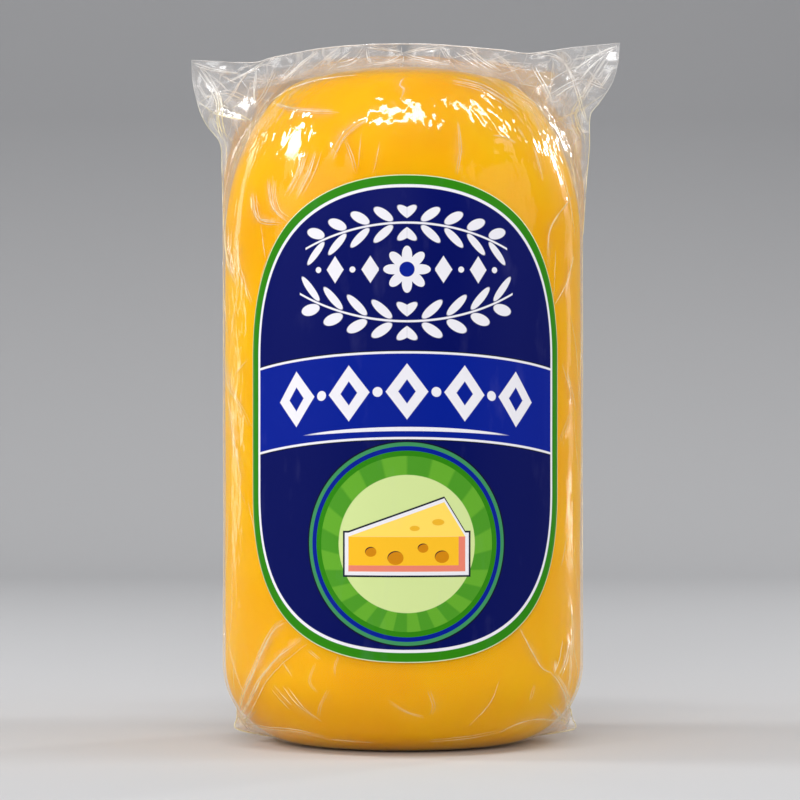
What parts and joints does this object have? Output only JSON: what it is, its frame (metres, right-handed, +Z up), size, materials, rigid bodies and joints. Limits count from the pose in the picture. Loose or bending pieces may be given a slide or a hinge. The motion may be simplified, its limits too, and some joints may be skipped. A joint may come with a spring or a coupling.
{
  "type": "provolone cheese in a clear bag",
  "caption": "Tall round-shouldered barrel of yellow cheese, sealed in a clear shrunk bag with a top flap and ears, with a large rounded label on its front.",
  "frame": {"origin": "centre of the flat base, on the surface that the cheese stands on", "axes": "+Z up along the barrel, -Y out of the label's middle, +X to the right of someone who looks at the label"},
  "size_m": [0.1194, 0.1007, 0.1947],
  "materials": {
    "film": "clear glossy film shrunk on to golden yellow cheese, with fine creases",
    "cheese": "smooth golden yellow cheese, a little waxy",
    "label": "printed coated paper, satin, navy field with a green border"
  },
  "bodies": {
    "root": {"bag": "film", "label": "label"}
  },
  "joints": []
}
